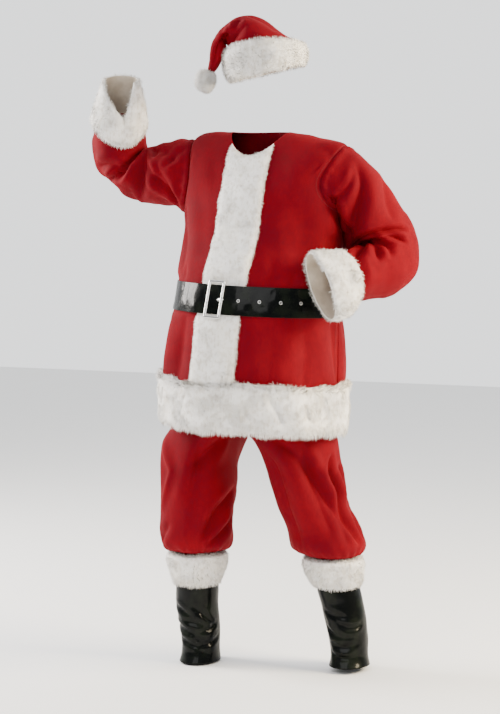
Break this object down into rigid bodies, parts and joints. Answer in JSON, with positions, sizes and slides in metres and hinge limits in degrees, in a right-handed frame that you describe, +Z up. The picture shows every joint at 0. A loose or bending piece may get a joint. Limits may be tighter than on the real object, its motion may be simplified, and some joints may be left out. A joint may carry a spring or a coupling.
{
  "type": "santa suit",
  "caption": "Hollow red cloth jacket, trousers and pointed hat with white fur trim, a wide black belt with a square buckle, and black boot tops, held in a standing pose.",
  "frame": {"origin": "middle of the neckline, where the shoulders of the wearer or of a stand hold the suit", "axes": "+Z up, the front faces -Y, the wearer's left is +X"},
  "size_m": [0.9308, 0.4582, 1.75],
  "materials": {
    "flannel": "brushed red flannel",
    "fur": "short white pile",
    "vinyl": "glossy black coated cloth",
    "silver": "polished plate",
    "steel": "plain metal"
  },
  "bodies": {
    "root": {"jacket_front_right": "flannel", "jacket_front_left": "flannel", "jacket_back": "flannel", "front_fur_band": "fur", "hem_fur_band": "fur", "sleeve_right": "flannel", "sleeve_left": "flannel", "cuff_fur_right": "fur", "cuff_fur_left": "fur", "belt_strap": "vinyl", "belt_eyelet_1": "steel", "belt_eyelet_2": "steel", "belt_eyelet_3": "steel", "belt_eyelet_4": "steel", "belt_eyelet_5": "steel", "belt_eyelet_6": "steel", "buckle_frame": "silver", "buckle_prong": "silver", "trouser_leg_right": "flannel", "trouser_leg_left": "flannel", "trouser_waistband": "flannel", "boot_top_right": "vinyl", "boot_top_left": "vinyl", "boot_top_fur_right": "fur", "boot_top_fur_left": "fur", "hat_crown": "flannel", "hat_fur_band": "fur", "hat_pompom": "fur"}
  },
  "joints": []
}
